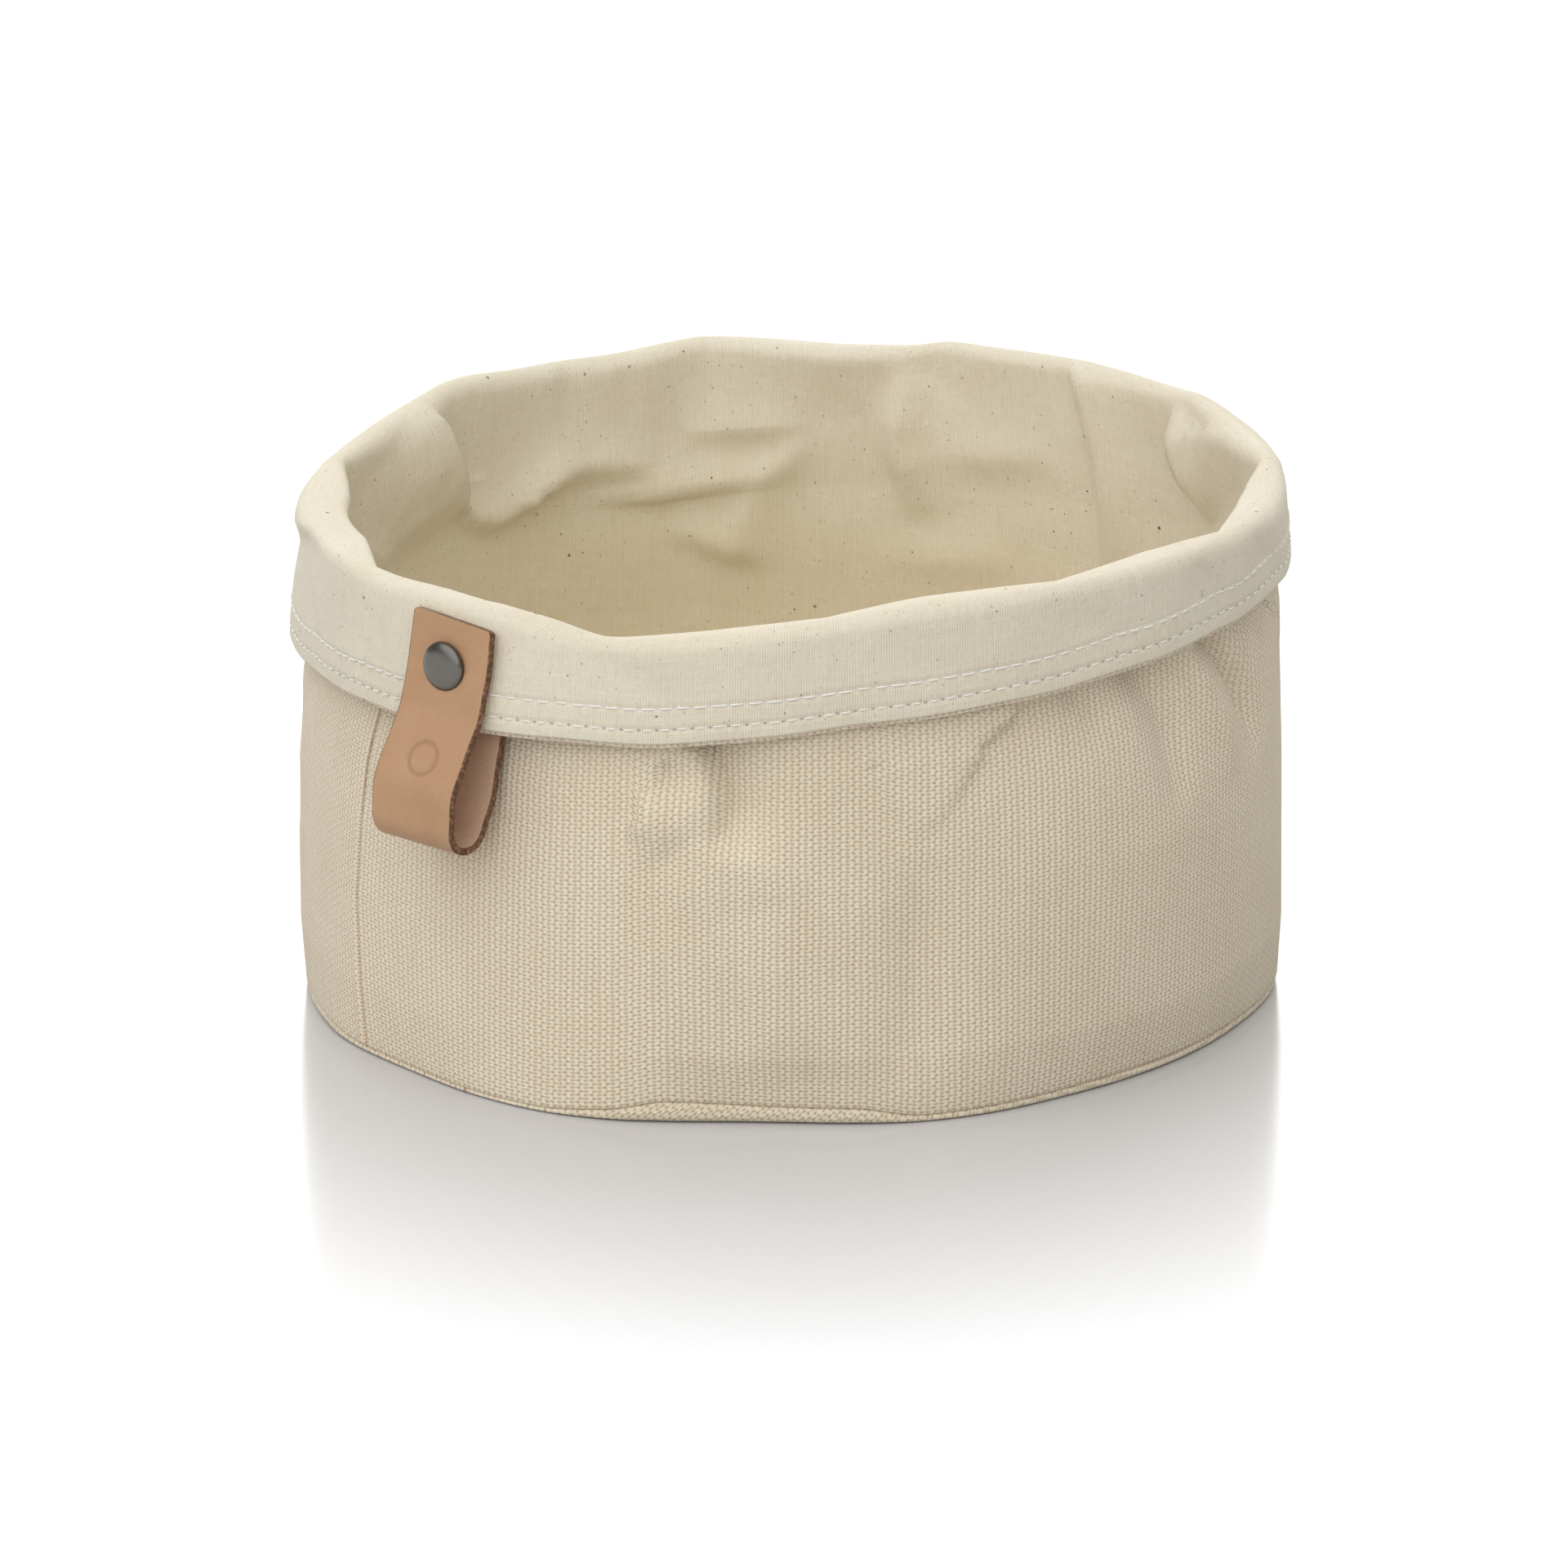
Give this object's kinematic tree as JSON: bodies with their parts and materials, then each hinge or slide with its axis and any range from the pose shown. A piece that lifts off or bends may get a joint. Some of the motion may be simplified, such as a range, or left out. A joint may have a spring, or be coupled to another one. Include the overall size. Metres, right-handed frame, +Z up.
{
  "type": "fabric storage bin",
  "caption": "Round soft storage bin of coarse canvas with a cotton lining, a rolled rim, a turned-down stitched cuff and a riveted leather pull loop.",
  "frame": {"origin": "centre of the flat underside, on the surface the bin stands on", "axes": "+Z up along the bin's axis; -Y towards the side with the leather loop; +X to the right seen from that side"},
  "size_m": [0.2034, 0.2156, 0.1045],
  "materials": {
    "canvas": "coarse plain weave, matt",
    "cotton": "unbleached cotton with dark seed flecks, matt",
    "thread": "white sewing thread",
    "leather": "smooth vegetable-tanned leather, light tan, with dark cut edges",
    "gunmetal": "dark gunmetal plating, satin"
  },
  "bodies": {
    "bin": {"outer_wall": "canvas", "outer_base": "canvas", "liner_wall": "cotton", "liner_base": "cotton", "outer_side_seam_thread": "thread", "liner_side_seam_thread": "thread", "base_seam_thread": "thread", "liner_base_seam_thread": "thread", "cuff_edge_stitching": "thread", "cuff_hem_stitching": "thread", "rivet_cap": "gunmetal", "rivet_post": "gunmetal"},
    "loop": {"leather_loop": "leather"}
  },
  "joints": [
    {"name": "loop_swivel", "type": "hinge", "parent": "bin", "child": "loop", "pos_m": [0, -0.1, 0.0883], "axis": [0, -1, 0], "range_deg": [-15, 15]}
  ]
}
